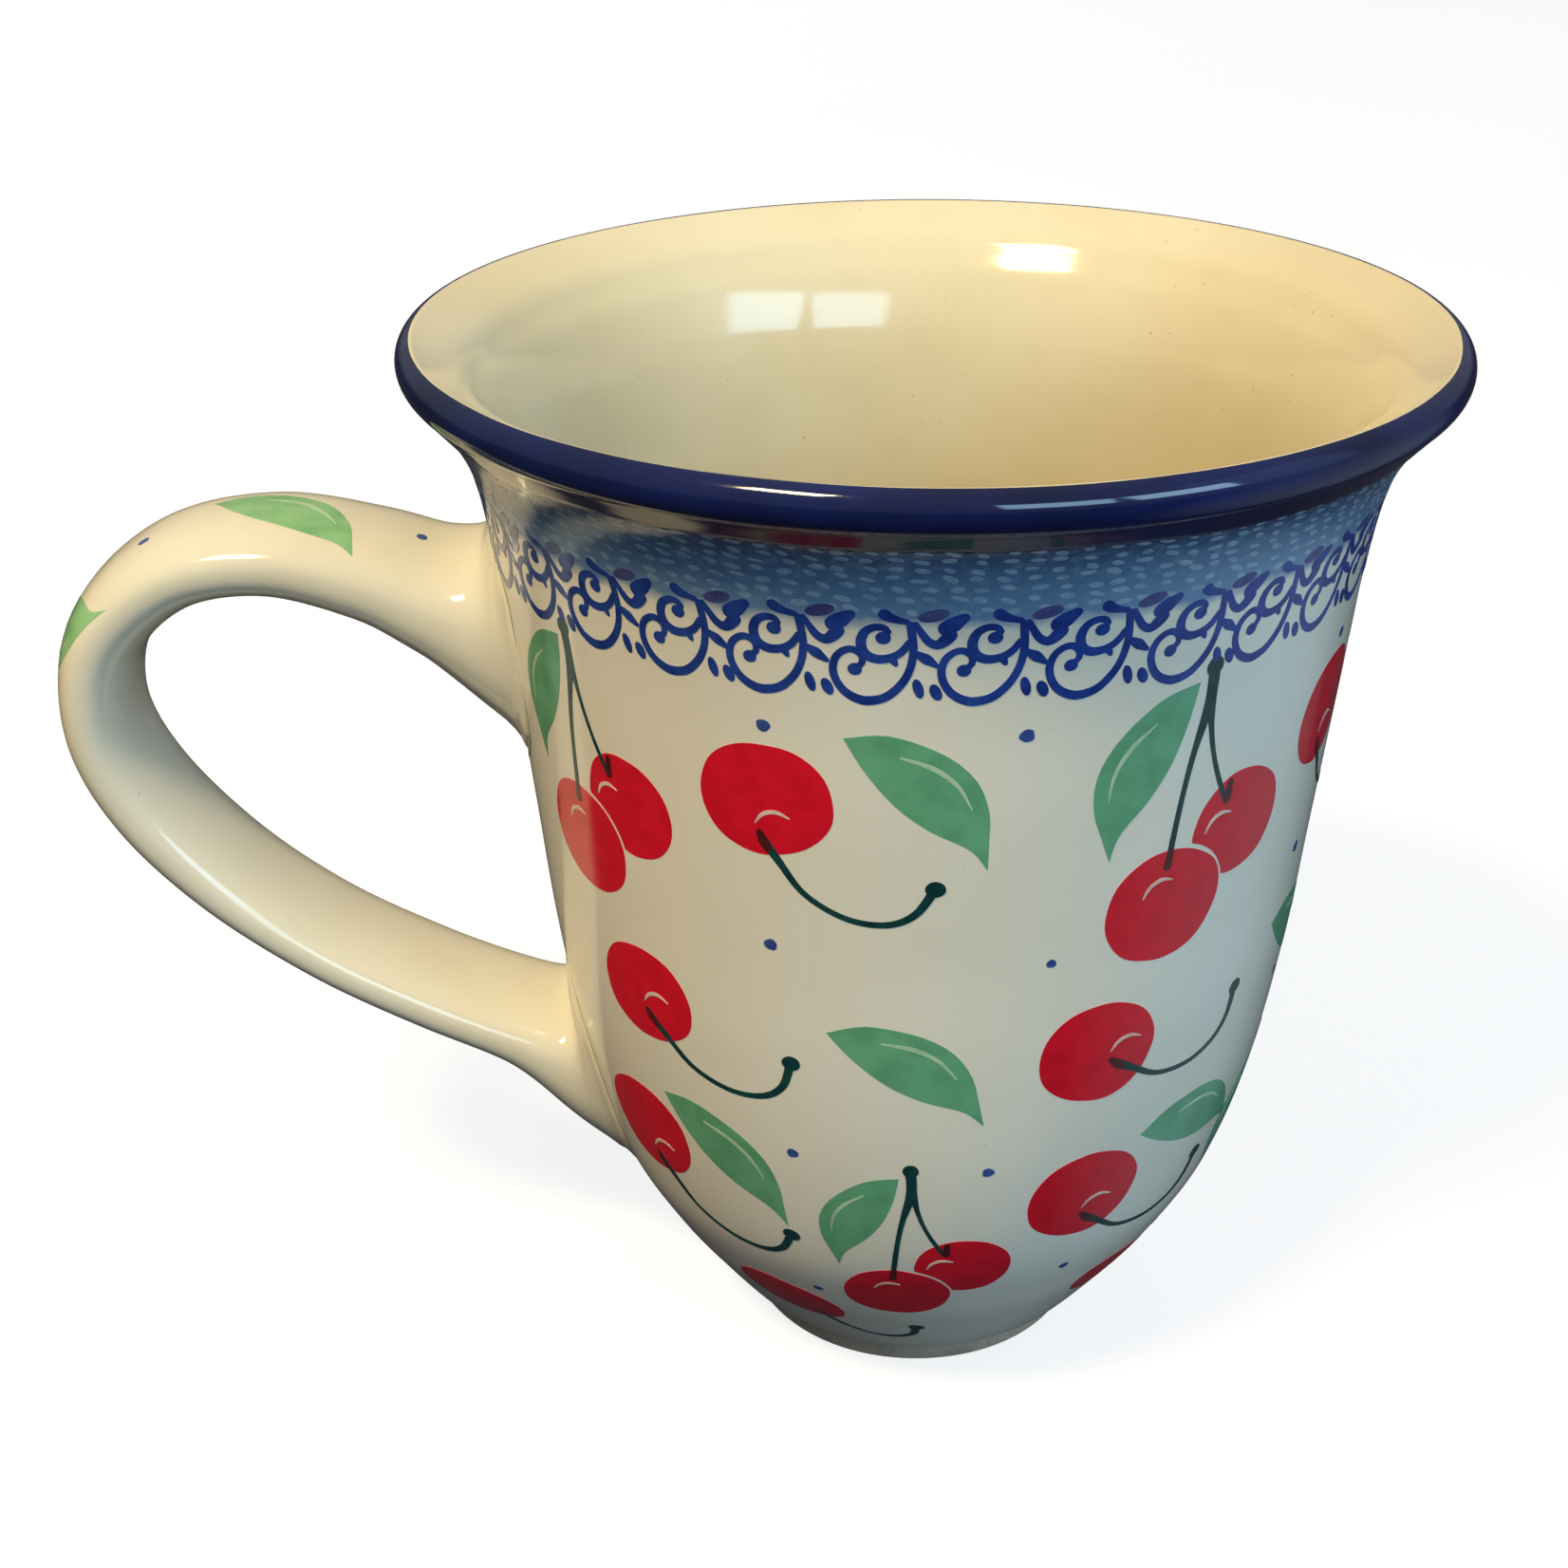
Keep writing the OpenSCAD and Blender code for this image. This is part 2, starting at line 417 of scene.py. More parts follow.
# ------------------------------------------------------------
# Clay and coats of glaze
# ------------------------------------------------------------
INSIDE = curve(scaled(INSIDE_KNOTS) + [tuple(lip_arc(0, LIP_END, LIP_END)[0])], LATHE_STEPS)


def build_cup():
    """The clay of the cup, with a shallow hollow under its floor."""
    hollow_rise = 0.9
    clay_wall = moved(WALL, -GLAZE_T)
    inside = moved(INSIDE, GLAZE_T)
    hollow = [(r * FOOT_R, RING_H + hollow_rise * (1 - r ** 2)) for r in np.linspace(0, 0.9, 14)]
    outline = np.vstack([hollow, [[FOOT_R - GLAZE_T, RING_H]], clay_wall[2:],
                         lip_arc(GLAZE_T, LIP_START + 3, LIP_END - 3), inside[::-1]])
    outline[-1, 0] = 0
    points, faces = revolve(outline)
    clay = clay_material("stoneware_clay", (0.60, 0.52, 0.40), (0.50, 0.42, 0.31), 0.62)
    finish_piece(add_mesh("clay_cup", points, faces, clay), "stoneware", ["cup_body"])


def build_foot_ring():
    """The bare ring, with rounded edges below. Its top lies inside the clay of the cup."""
    edge, top = 0.7, RING_H + 0.6
    outer = FOOT_R - 0.25
    inner = outer - FOOT_RING_W
    turn = np.radians(np.linspace(0, 90, 7))
    round_in = [(inner + edge - edge * math.cos(t), edge - edge * math.sin(t)) for t in turn]
    round_out = [(outer - edge + edge * math.sin(t), edge - edge * math.cos(t)) for t in turn]
    points, faces = revolve([(inner, top)] + round_in + round_out + [(outer, top)])
    # Partly the bare clay's own colour and partly painted shade: the foot's clay is darker than the
    # cup's clay.
    bare = clay_material("bare_foot_clay_and_shade", (0.42, 0.34, 0.25), (0.31, 0.245, 0.175), 0.75)
    finish_piece(add_mesh("bare_foot_ring", points, faces, bare), "bare_clay", ["foot_ring"])


def build_glazes():
    """The coats outside and inside, which stop just short of the clay's own faces."""
    depth = 0.98 * GLAZE_T
    outside = np.vstack([WALL, moved(WALL, -depth)[::-1]])
    points, faces = revolve(outside)
    cream = glaze_material("cream_glaze", IVORY, IVORY_DEEP)
    finish_piece(add_mesh("outer_glaze_coat", points, faces, cream), "cream_glaze",
                 ["outer_glaze"])

    skin = np.vstack([INSIDE, lip_arc(0, LIP_END, BAND_END)[1:]])
    under = moved(skin, depth)
    under[0, 0] = 0
    points, faces = revolve(np.vstack([under, skin[::-1]]))
    warm = inside_glaze_with_painted_shade("inside_glaze")
    finish_piece(add_mesh("inner_glaze_coat", points, faces, warm), "inside_glaze",
                 ["inner_glaze"])


def brushed_edge(azimuth, reach, phase):
    """How far a hand-brushed edge strays, in millimetres."""
    a = np.radians(azimuth)
    return reach * (0.5 * np.sin(3 * a + phase) + 0.3 * np.sin(8 * a + 2 * phase)
                    + 0.2 * np.sin(19 * a + 3 * phase))


def build_rim_band():
    """The cobalt coat round the lip. Its lower and upper edges are brushed by hand."""
    low, proud, sunk, azimuth_step = 108.6, 0.07, -0.3, 360 / LATHE_SIDES
    along_wall, along_lip = 10, 50
    points = []
    for j in range(LATHE_SIDES):
        azimuth = j * azimuth_step
        start = low + brushed_edge(azimuth, 0.3, 0.4)
        heights = np.linspace(start, WALL[-1, 1], along_wall)
        wall = np.stack([wall_radius(heights), heights], axis=1)
        last = BAND_END + 9 * brushed_edge(azimuth, 1.0, 2.1)
        lip = lip_arc(0, LIP_START, last, (last - LIP_START) / along_lip)[1:]
        line = np.vstack([wall, lip])
        ease = np.minimum(1, np.minimum(np.arange(len(line)), np.arange(len(line))[::-1]) / 2)
        outer = moved(line, 1.0) - line
        outline = np.vstack([line + outer * (proud * ease)[:, None], (line + outer * sunk)[::-1]])
        shift = uneven(azimuth, outline[:, 1])
        a = math.radians(azimuth)
        points.append(np.stack([(outline[:, 0] + shift) * math.cos(a),
                                (outline[:, 0] + shift) * math.sin(a), outline[:, 1]], axis=1))
    count = len(points[0])
    faces = []
    for j in range(LATHE_SIDES):
        here, beside = j * count, (j + 1) % LATHE_SIDES * count
        for k in range(count):
            nxt = (k + 1) % count
            faces.append((here + k, beside + k, beside + nxt, here + nxt))
    obj = add_mesh("cobalt_rim_band", np.vstack(points), faces, band_material("cobalt_glaze"))
    finish_piece(obj, "cobalt_glaze", ["rim_band"])


def build_sponge_band():
    heights = np.linspace(SPONGE_LOW - 0.6, SPONGE_TOP, 26)
    line = np.stack([wall_radius(heights), heights], axis=1)
    outline = np.vstack([moved(line, 0.02), moved(line, -0.15)[::-1]])
    points, faces = revolve(outline)
    obj = add_mesh("sponge_band", points, faces, sponge_material("sponged_blue"))
    finish_piece(obj, "cobalt_glaze")


# ------------------------------------------------------------
# Handle
# ------------------------------------------------------------
STRAP_STEPS = 14
STRAP_SIDES = 64
STRAP_W, STRAP_T = 15.5, 6.4
UPPER_TAPER, LOWER_TAPER = np.array([5.5, 4]), np.array([2.5, 0.6])
ROOT_EXTRA_W, UPPER_EXTRA_T, LOWER_EXTRA_T = 5, 14, 18
ROOT_FADE = (4.6, 3.6)
LAST_KNOT = len(STRAP_KNOTS) - 1
UPPER_SEAM, LOWER_SEAM = 3, LAST_KNOT - 3
STRAP_START, STRAP_END = 0.6, LAST_KNOT - 0.5
SECTION_POWER = 0.88
FILLET = 1.7

STRAP_LINE = curve(scaled(STRAP_KNOTS), STRAP_STEPS)
STRAP_ALONG = np.gradient(STRAP_LINE, axis=0)
STRAP_ALONG /= np.linalg.norm(STRAP_ALONG, axis=1)[:, None]
STRAP_LENGTH = lengths(STRAP_LINE)


def between(table, knot):
    """A row of a strap table at a knot number that need not be whole."""
    index = np.arange(len(table)) / STRAP_STEPS
    return np.array([np.interp(knot, index, table[:, c]) for c in range(table.shape[1])]).T


def ring_frame(knot):
    """Centre, direction and size (width, thickness) of the strap's ring at a knot number."""
    centre, u = between(STRAP_LINE, knot), between(STRAP_ALONG, knot)
    upper = knot < LAST_KNOT / 2
    at_wall = STRAP_LINE[STRAP_STEPS if upper else -1 - STRAP_STEPS]
    if min(knot, LAST_KNOT - knot) < 1:
        share = 1.0
    else:
        share = math.exp(-np.linalg.norm(centre - at_wall) / ROOT_FADE[0 if upper else 1])
    lean = wall_lean(at_wall[1])
    out = np.array([math.cos(lean), -math.sin(lean)]) * (1 if upper else -1)
    u = (1 - share) * u + share * out
    u /= np.linalg.norm(u)
    s = knot / LAST_KNOT
    size = np.array([STRAP_W, STRAP_T]) + UPPER_TAPER * (1 - s) ** 2 + LOWER_TAPER * s ** 2
    size = size + share * np.array([ROOT_EXTRA_W, UPPER_EXTRA_T if upper else LOWER_EXTRA_T])
    return centre, u, size


def strap_ring(knot, angle, lift=0.0):
    """Points round the strap at a knot number. Angle 180 is the outer face of the strap."""
    centre, u, size = ring_frame(knot)
    a = np.radians(angle)
    c = np.sign(np.cos(a)) * np.abs(np.cos(a)) ** SECTION_POWER
    s = np.sign(np.sin(a)) * np.abs(np.sin(a)) ** SECTION_POWER
    thick, wide = (size[1] / 2 + lift) * c, (size[0] / 2 + lift) * s
    thick = thick + 0.10 * np.sin(knot * 2.3 + 1) * np.cos(a)
    return np.stack([-(centre[0] + thick * u[1]), wide, centre[1] - thick * u[0]], axis=-1)


def softened(points, centre):
    """A ring spread outward where it nears the wall, so that it meets the wall in a soft hollow."""
    reach = np.hypot(points[:, 0], points[:, 1])
    azimuth = np.degrees(np.arctan2(points[:, 1], points[:, 0])) % 360
    gap = (reach - wall_radius(points[:, 2]) - uneven(azimuth, points[:, 2]))
    gap = np.clip(gap * np.cos(wall_lean(points[:, 2])), 0, FILLET)
    spread = FILLET - np.sqrt(FILLET ** 2 - (FILLET - gap) ** 2)
    away = points - centre
    away /= np.linalg.norm(away, axis=1)[:, None]
    return points + away * spread[:, None]


def build_handle():
    """The strap and its two luted roots, which share their end rings and their smooth shading."""
    # Painted shade: the handle's glaze is the cream glaze made darker.
    material = glaze_material("handle_glaze_painted_shade", (0.765, 0.71, 0.565), (0.715, 0.65, 0.50))
    count = round((STRAP_END - STRAP_START) * STRAP_STEPS)
    knots = sorted(set(np.linspace(STRAP_START, STRAP_END, count)) | {UPPER_SEAM, LOWER_SEAM})
    angle = np.arange(STRAP_SIDES) * 360 / STRAP_SIDES
    rings = []
    for knot in knots:
        centre = ring_frame(knot)[0]
        middle = np.array([-centre[0], 0, centre[1]])
        rings.append(softened(strap_ring(knot, angle), middle))
    rings = np.array(rings)
    along = np.gradient(rings, axis=0)
    around = np.roll(rings, -1, axis=1) - np.roll(rings, 1, axis=1)
    normals = np.cross(around, along)
    normals /= np.linalg.norm(normals, axis=2)[:, :, None]
    outward = rings - rings.mean(axis=1, keepdims=True)
    normals *= np.sign(np.sum(normals * outward))
    parts = [("upper_root", 0, UPPER_SEAM, "upper_handle_joint"),
             ("strap", UPPER_SEAM, LOWER_SEAM, "handle"),
             ("lower_root", LOWER_SEAM, LAST_KNOT, "lower_handle_joint")]
    for name, first, last, node in parts:
        keep = [i for i, k in enumerate(knots) if first <= k <= last]
        some, n = rings[keep], STRAP_SIDES
        faces = [tuple(range(n)), tuple((len(keep) - 1) * n + j for j in range(n))[::-1]]
        for i in range(len(keep) - 1):
            for j in range(n):
                nxt = (j + 1) % n
                faces.append((i * n + j, (i + 1) * n + j, (i + 1) * n + nxt, i * n + nxt))
        obj = add_mesh(name, some.reshape(-1, 3), faces, material,
                       normals[keep].reshape(-1, 3))
        finish_piece(obj, "cream_glaze", [node])


# ------------------------------------------------------------
# Paint
# ------------------------------------------------------------
# How deep the under face of every film of paint lies inside the glaze.
SINK = 0.12


class Paint:
    """One colour of paint: thin closed films on the glaze, joined into one piece."""

    def __init__(self, name, lift, material, slot=None):
        self.name, self.lift, self.material, self.slot = name, lift, material, slot
        self.points, self.faces, self.count = [], [], 0

    def film(self, shape, lay):
        """Adds one film. A shape is flat points, faces and the border's point numbers, and lay
        turns flat points and a lift into points on the mug."""
        flat, faces, border = shape
        n, start = len(flat), self.count
        self.points += [lay(flat, self.lift), lay(flat, -SINK)]
        for face in faces:
            self.faces.append(tuple(start + i for i in face))
            self.faces.append(tuple(start + n + i for i in reversed(face)))
        for i, j in zip(border, border[1:] + border[:1]):
            self.faces.append((start + j, start + i, start + n + i, start + n + j))
        self.count += 2 * n

    def make(self):
        """Joins the films into one piece."""
        obj = add_mesh(self.name, np.vstack(self.points), self.faces, self.material)
        finish_piece(obj, self.slot)


def patch(outline, rings=5):
    """A flat shape that fills an outline seen whole from its middle."""
    outline = np.asarray(outline, float)
    middle, n = outline.mean(axis=0), len(outline)
    shares = (np.arange(rings) + 1) / rings
    flat = np.vstack([[middle]] + [middle + (outline - middle) * s for s in shares])
    faces = [(0, 1 + j, 1 + (j + 1) % n) for j in range(n)]
    for k in range(rings - 1):
        a, b = 1 + k * n, 1 + (k + 1) * n
        faces += [(a + j, b + j, b + (j + 1) % n, a + (j + 1) % n) for j in range(n)]
    return flat, faces, list(range(1 + (rings - 1) * n, 1 + rings * n))


def loop(knots, steps=5):
    """A smooth closed outline through knots."""
    k = [knots[-1]] + list(knots) + [knots[0], knots[1]]
    return curve(k, steps)[steps:-steps - 1]


def ellipse(half_w, half_h, at=(0, 0), tilt=0, power=1.0, sides=24):
    """An oval outline. A power below 1 makes it squarer."""
    t = np.radians(np.arange(sides) * 360 / sides)
    x = half_w * np.sign(np.cos(t)) * np.abs(np.cos(t)) ** power
    y = half_h * np.sign(np.sin(t)) * np.abs(np.sin(t)) ** power
    return turned(np.stack([x, y], axis=1), tilt) + np.array(at)


def turned(points, degrees):
    """Flat points turned about the origin, anticlockwise."""
    c, s = math.cos(math.radians(degrees)), math.sin(math.radians(degrees))
    return np.asarray(points, float) @ np.array([[c, s], [-s, c]])


def stroke(knots, widths, step=0.45):
    """A flat brush stroke with round ends: a smooth path, and widths spread evenly along it."""
    path = curve(knots, 12)
    length = lengths(path)
    total = length[-1]
    cap = np.radians([12, 35, 60])
    cap_in, cap_width = 1 - np.cos(cap), np.sin(cap)
    first, last = widths[0] / 2, widths[-1] / 2
    inner = np.linspace(first, total - last, max(3, int(total / step)))
    distance = np.concatenate([first * cap_in, inner, total - last * cap_in[::-1]])
    width = np.interp(distance, np.linspace(0, total, len(widths)), widths)
    width *= np.concatenate([cap_width, np.ones(len(inner)), cap_width[::-1]])
    x, y = np.interp(distance, length, path[:, 0]), np.interp(distance, length, path[:, 1])
    middle = np.stack([x, y], axis=1)
    u = np.gradient(middle, axis=0)
    u /= np.linalg.norm(u, axis=1)[:, None]
    side = np.stack([-u[:, 1], u[:, 0]], axis=1) * (width / 2)[:, None]
    flat = np.stack([middle - side, middle, middle + side], axis=1).reshape(-1, 2)
    n = len(middle)
    faces = []
    for i in range(n - 1):
        for c in (0, 1):
            faces.append((3 * i + c, 3 * i + 3 + c, 3 * i + 4 + c, 3 * i + 1 + c))
    border = ([3 * i for i in range(n)] + [3 * n - 2]
              + [3 * i + 2 for i in range(n - 1, -1, -1)] + [1])
    return flat, faces, border


def on_mug(azimuth, height, turn=0, size=1):
    """A lay for flat shapes in millimetres, put on the wall at a place and turned."""
    climb = np.interp(height, WALL[:, 1], WALL_CLIMB)

    def lay(flat, lift):
        p = turned(np.asarray(flat) * size, turn)
        z = np.interp(climb + p[:, 1], WALL_CLIMB, WALL[:, 1])
        return on_wall(azimuth + np.degrees(p[:, 0] / wall_radius(z)), z, lift)
    return lay


def at_places(flat, lift):
    """A lay for shapes whose points are azimuths in degrees and heights in millimetres."""
    flat = np.asarray(flat)
    return on_wall(flat[:, 0], flat[:, 1], lift)


def on_strap(knot, angle):
    """A lay for flat shapes put on the strap: x runs along it and y round its section."""
    knot_numbers = np.arange(len(STRAP_LENGTH)) / STRAP_STEPS
    start = np.interp(knot, knot_numbers, STRAP_LENGTH)

    def lay(flat, lift):
        p = np.asarray(flat, float)
        knots = np.interp(start + p[:, 0], STRAP_LENGTH, knot_numbers)
        out = []
        for k, y in zip(knots, p[:, 1]):
            half_w = ring_frame(k)[2][0] / 2
            out.append(strap_ring(k, angle + np.degrees(y / half_w), lift))
        return np.array(out)
    return lay


def offset_lay(lay, at, turn=0, flip=False, size=1):
    """A lay for a shape that sits at a place inside a bigger design."""
    def inner(flat, lift):
        p = np.array(flat, float) * size
        if flip:
            p[:, 1] *= -1
        return lay(turned(p, turn) + np.array(at), lift)
    return inner


CHERRIES = Paint("painted_cherries", 0.03, paint_material(
    "cherry_red", (0.74, 0.008, 0.024), (0.66, 0.006, 0.020)))
LEAVES = Paint("painted_leaves", 0.03, paint_material(
    "leaf_green", (0.150, 0.42, 0.225), (0.115, 0.35, 0.18), 300))
HANDLE_LEAVES = Paint("handle_leaves", 0.03, paint_material(
    "handle_leaf_green", (0.27, 0.52, 0.23), (0.18, 0.42, 0.17), 300))
VEINS = Paint("leaf_veins", 0.05, paint_material(
    "vein_green", (0.50, 0.66, 0.46), (0.38, 0.56, 0.35)))
STEMS = Paint("cherry_stems", 0.05, paint_material(
    "stem_green", (0.008, 0.060, 0.055), (0.004, 0.034, 0.036)))
STEM_FEET = Paint("stem_feet", 0.065, paint_material(
    "stem_brown", (0.095, 0.012, 0.010), (0.055, 0.008, 0.010)))
LIGHTS = Paint("cherry_highlights", 0.06, paint_material(
    "pale_glaze_lines", (0.80, 0.64, 0.55), (0.66, 0.42, 0.36)))
DOTS = Paint("blue_dots", 0.03, paint_material(
    "dot_blue", (0.055, 0.11, 0.34), (0.030, 0.065, 0.24)), "cobalt_glaze")
SCROLLS = Paint("scroll_border", 0.05, paint_material(
    "scroll_blue", (0.020, 0.060, 0.30), (0.010, 0.034, 0.205), 520), "cobalt_glaze")
PETALS = Paint("scroll_petals", 0.06, paint_material(
    "petal_violet", (0.085, 0.09, 0.25), (0.05, 0.055, 0.18), 520), "cobalt_glaze")
DABS = Paint("sponge_dabs", 0.034, paint_material(
    "dab_blue", (0.30, 0.43, 0.53), (0.21, 0.33, 0.45), 900))
ROOT_LINES = Paint("root_lines", 0.03, paint_material(
    "line_green", (0.17, 0.26, 0.11), (0.11, 0.19, 0.08), 600))

# Stamps and brush marks, flat, in millimetres.
STEM_PATH = [(0, 0), (2.3, -2.0), (5.3, -4.4), (9.5, -5.5), (13.2, -4.9), (15.4, -3.0), (16.4, 0)]
STEM_WIDTHS = [1.1, 0.75, 0.6, 0.6, 0.65, 0.75, 0.9]
LEAF_OUTLINE = [
    (0, 0), (2.4, 3.3), (6.8, 5.5), (10.7, 5.8), (14.0, 4.4), (16.5, 2.1), (18.6, 0.0),
    (15.8, 0.4), (11.8, -0.8), (7.9, -1.3), (3.6, -0.9),
]
LEAF_TAIL = 6
VEIN_PATH = [(4.6, 2.5), (7.4, 3.9), (10.2, 4.2), (12.9, 3.4)]
LIGHT_PATH = [(-0.5, 1.3), (0.3, 2.4), (1.6, 2.8), (2.9, 2.3)]
TWIN_LEFT_STEM = [(0, 0.2), (0.1, -3.6), (-0.9, -8.7), (-1.5, -13.6), (-2.0, -20.8)]
TWIN_RIGHT_STEM = [(0, 0.2), (0.3, -3.4), (1.1, -7.5), (2.4, -11.3), (4.4, -15.4)]
TWIN_FRONT, TWIN_BACK = (-1.5, -24.8), (6.6, -18.1)
TWIN_GAP = 0.45


# The small differences between one stamp or brush mark and the next.
hand = random.Random(11)


def wobbled(outline, middle, strength):
    """An outline whose reach from its middle strays a little, as a stamp's edge does."""
    t = np.arctan2(*(outline - middle).T[::-1])
    phases = [hand.uniform(0, 6.3) for _ in range(3)]
    waves = zip((3, 5, 9), phases, (1, 1.6, 2.4))
    stray = sum(np.sin(count * t + phase) / weaker for count, phase, weaker in waves)
    return middle + (outline - middle) * (1 + strength * stray)[:, None]


def leaf_shape():
    """A leaf filled in cross rows, from its tip to its tail."""
    tip_at, tail_at = LEAF_OUTLINE[0], LEAF_OUTLINE[LEAF_TAIL]
    upper = curve(LEAF_OUTLINE[:LEAF_TAIL + 1], 6)
    lower = curve([tip_at] + LEAF_OUTLINE[:LEAF_TAIL:-1] + [tail_at], 6)
    share = 0.5 - 0.5 * np.cos(np.linspace(0, math.pi, 30)[1:-1])

    def even(line):
        """Points along an edge at shares of its own length."""
        d = lengths(line)
        return np.stack([np.interp(share * d[-1], d, line[:, c]) for c in (0, 1)], axis=1)

    top, low = even(upper), even(lower)
    across, n = 6, len(share)
    rows = [low + (top - low) * k / (across - 1) for k in range(across)]
    flat = np.vstack([np.stack(rows, axis=1).reshape(-1, 2), [tip_at], [tail_at]])
    tip, tail, end = n * across, n * across + 1, (n - 1) * across
    faces = [(tip, c, c + 1) for c in range(across - 1)]
    for i in range(n - 1):
        for c in range(across - 1):
            a = i * across + c
            faces.append((a, a + across, a + across + 1, a + 1))
    faces += [(end + c, tail, end + c + 1) for c in range(across - 1)]
    border = ([tip] + [i * across for i in range(n)] + [tail]
              + [i * across + across - 1 for i in range(n - 1, -1, -1)])
    return flat, faces, border


def paint_leaf(lay, paint=LEAVES):
    """A stamped leaf with one pale brush line along it."""
    paint.film(leaf_shape(), lay)
    VEINS.film(stroke(VEIN_PATH, [0.15, 0.5, 0.4, 0.12]), lay)


def cherry_outline(half, at, tilt):
    """The edge of one cherry, from its half width and half height."""
    outline = ellipse(half[0], half[1], at, tilt, power=0.93, sides=52)
    return wobbled(outline, np.array(at), 0.009)


def paint_light(lay, at, turn=0):
    """The short pale line that makes a cherry look round."""
    LIGHTS.film(stroke(LIGHT_PATH, [0.12, 0.42, 0.42, 0.12]), offset_lay(lay, at, turn))


def single_cherry(azimuth, height, tilt, stem_from, stem_turn, half=(6.45, 5.75)):
    """A stamped cherry with a brushed stem that hangs from it in a curve."""
    lay = on_mug(azimuth, height)
    CHERRIES.film(patch(cherry_outline(half, (0, 0), tilt)), lay)
    stem = offset_lay(lay, stem_from, stem_turn)
    STEMS.film(stroke(STEM_PATH, STEM_WIDTHS), stem)
    STEM_FEET.film(stroke([(-0.4, 0.6), (0.3, -0.3), (1.2, -1.3)], [0.5, 1.1, 0.8]), stem)
    STEMS.film(patch(ellipse(0.95, 0.85, (16.5, 0.2), 20)), stem)
    paint_light(lay, stem_from)


def clear_of(outline, centre, half, tilt):
    """An outline pushed out of an oval where it enters it."""
    p = turned(outline - np.array(centre), -tilt) / np.array(half)
    reach = np.linalg.norm(p, axis=1)
    p = p * np.maximum(1, 1 / np.maximum(reach, 1e-6))[:, None]
    return turned(p * np.array(half), tilt) + np.array(centre)


def twin_cherries(azimuth, height, size=1.0, leaf_from=(-1.4, -1.1), tilt=-14):
    """Two cherries on one stalk, the front one clear of the other, and a leaf beside them."""
    lay = on_mug(azimuth, height, size=size)
    front, back = (6.6, 6.1), (5.95, 5.65)
    CHERRIES.film(patch(cherry_outline(front, TWIN_FRONT, tilt)), lay)
    hidden = clear_of(cherry_outline(back, TWIN_BACK, tilt), TWIN_FRONT,
                      (front[0] + TWIN_GAP, front[1] + TWIN_GAP), tilt)
    CHERRIES.film(patch(hidden), lay)
    STEMS.film(stroke(TWIN_LEFT_STEM, [1.3, 1.2, 0.7, 0.6, 0.65, 0.7]), lay)
    STEMS.film(stroke(TWIN_RIGHT_STEM, [1.3, 1.1, 0.6, 0.5, 0.55, 0.6]), lay)
    STEMS.film(patch(ellipse(0.95, 1.0, (0, 0.2))), lay)
    for end in (TWIN_LEFT_STEM[-1], TWIN_RIGHT_STEM[-1]):
        STEM_FEET.film(stroke([(end[0] + 0.2, end[1] + 2.6), end], [0.6, 1.0]), lay)
        paint_light(lay, (end[0] - 1.6, end[1] - 3.9), 8)
    paint_leaf(offset_lay(lay, leaf_from, -112.5, flip=True))


def paint_dot(azimuth, height, size=1.0):
    outline = wobbled(ellipse(0.62 * size, 0.58 * size, sides=16), np.zeros(2), 0.06)
    DOTS.film(patch(outline, 2), on_mug(azimuth, height))


ROOT_AZIMUTH = 180


def away_from_root(azimuth):
    """Degrees between an azimuth and the handle."""
    return abs((azimuth - ROOT_AZIMUTH + 180) % 360 - 180)


def paint_upper_row():
    """Twins hanging from the border, with single cherries and leaves between them."""
    first, step = 217.4, 84.3
    for i in range(4):
        at = first + i * step
        twin_cherries(at, 93.5, 1.0 if i else 0.93)
        single_cherry(at + 29.6, 82.0, 8, (-0.5, -3.9), -15)
        paint_leaf(on_mug(at + 39.6, 89.4, -46.5))
        for ahead, height in ((30, 89.7), (29.4, 66.2), (60.7, 89.8), (66.2, 64.9)):
            paint_dot(at + ahead, height, hand.uniform(0.8, 1.15))


def paint_middle_row():
    """Single cherries one after another, every second one swung the other way."""
    for at in (224.6, 359.6, 134.6):
        single_cherry(at, 55.1, 6, (0.4, -2.2), -2, (6.15, 5.4))
    for at in (292.2, 67.2):
        single_cherry(at, 53.1, -16, (1.7, -1.5), 8.5, (6.25, 5.85))
    for at in (254, 327, 32, 99):
        paint_leaf(on_mug(at, 57.0 if at == 254 else 58.5, -36.2))


def paint_lower_row():
    """Small twins and single cherries by turns, and a row of flat cherries just above the foot."""
    first, step = 218.8, 75.4
    for i in range(4):
        at = first + i * step
        if i % 2:
            single_cherry(at, 33.8, -18, (0.4, -3.3), 2, (6.35, 6.0))
            paint_leaf(on_mug(at + 8.4, 40.0, -22))
            ahead, height = 42, 49.5
        else:
            single_cherry(at, 36.0, 8, (0.8, -4.0), -14, (6.3, 5.9))
            paint_leaf(on_mug(at + 6.6, 43.0, -46.8))
            ahead, height = 29.2, 40.8
        twin_cherries(at + 46.9, 40.1, 0.84)
        paint_dot(at + ahead, height)
        paint_dot(at + 58.4, 39.8)
        paint_dot(at + 29.4, 19.0, 0.9)
        paint_dot(at + 76.1, 22.0, 0.9)
    for at in (239.5, 314.9, 30.3, 105.7):
        lay = on_mug(at, 14.6)
        CHERRIES.film(patch(cherry_outline((6.2, 3.9), (0, 0), -14)), lay)
        STEMS.film(stroke([(2.5, -2.0), (5.0, -5.6), (9.0, -7.6), (12.0, -6.6), (13.0, -4.2)],
                          [0.8, 0.6, 0.6, 0.7, 0.9]), lay)
        STEMS.film(patch(ellipse(0.85, 0.8, (13.2, -3.9))), lay)


